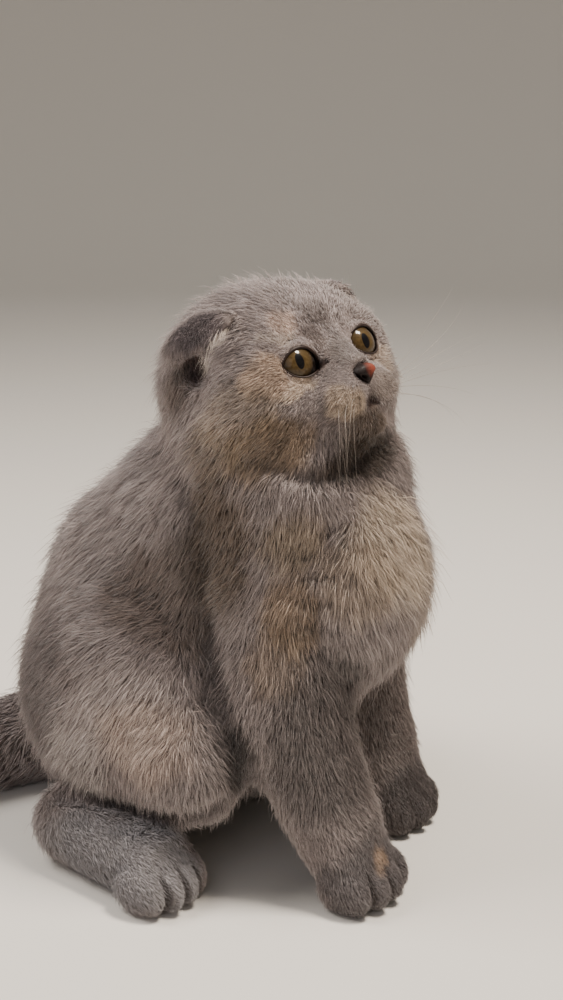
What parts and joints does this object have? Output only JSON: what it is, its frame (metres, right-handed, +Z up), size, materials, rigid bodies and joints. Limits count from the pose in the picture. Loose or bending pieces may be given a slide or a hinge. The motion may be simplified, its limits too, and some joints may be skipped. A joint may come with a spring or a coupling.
{
  "type": "scottish fold kitten",
  "caption": "Life-size still model of a sitting Scottish Fold kitten with a grey and cream coat, folded ears and its head turned to one side.",
  "frame": {"origin": "centre of the bounding box at floor level", "axes": "+Z up, -Y the way the kitten faces, +X its left side"},
  "size_m": [0.1869, 0.1909, 0.1862],
  "materials": {
    "coat": "matte",
    "paws": "matte",
    "ears": "matte",
    "nose": "satin",
    "eyes": "gloss"
  },
  "bodies": {
    "root": {"head": "coat", "neck": "coat", "torso": "coat", "foreleg_left": "coat", "foreleg_right": "coat", "forepaw_left": "paws", "forepaw_right": "paws", "hindleg_left": "coat", "hindleg_right": "coat", "hindpaw_left": "paws", "hindpaw_right": "paws", "tail": "coat", "ear_left": "ears", "ear_right": "ears", "eye_left": "eyes", "eye_right": "eyes", "nose": "nose"}
  },
  "joints": []
}
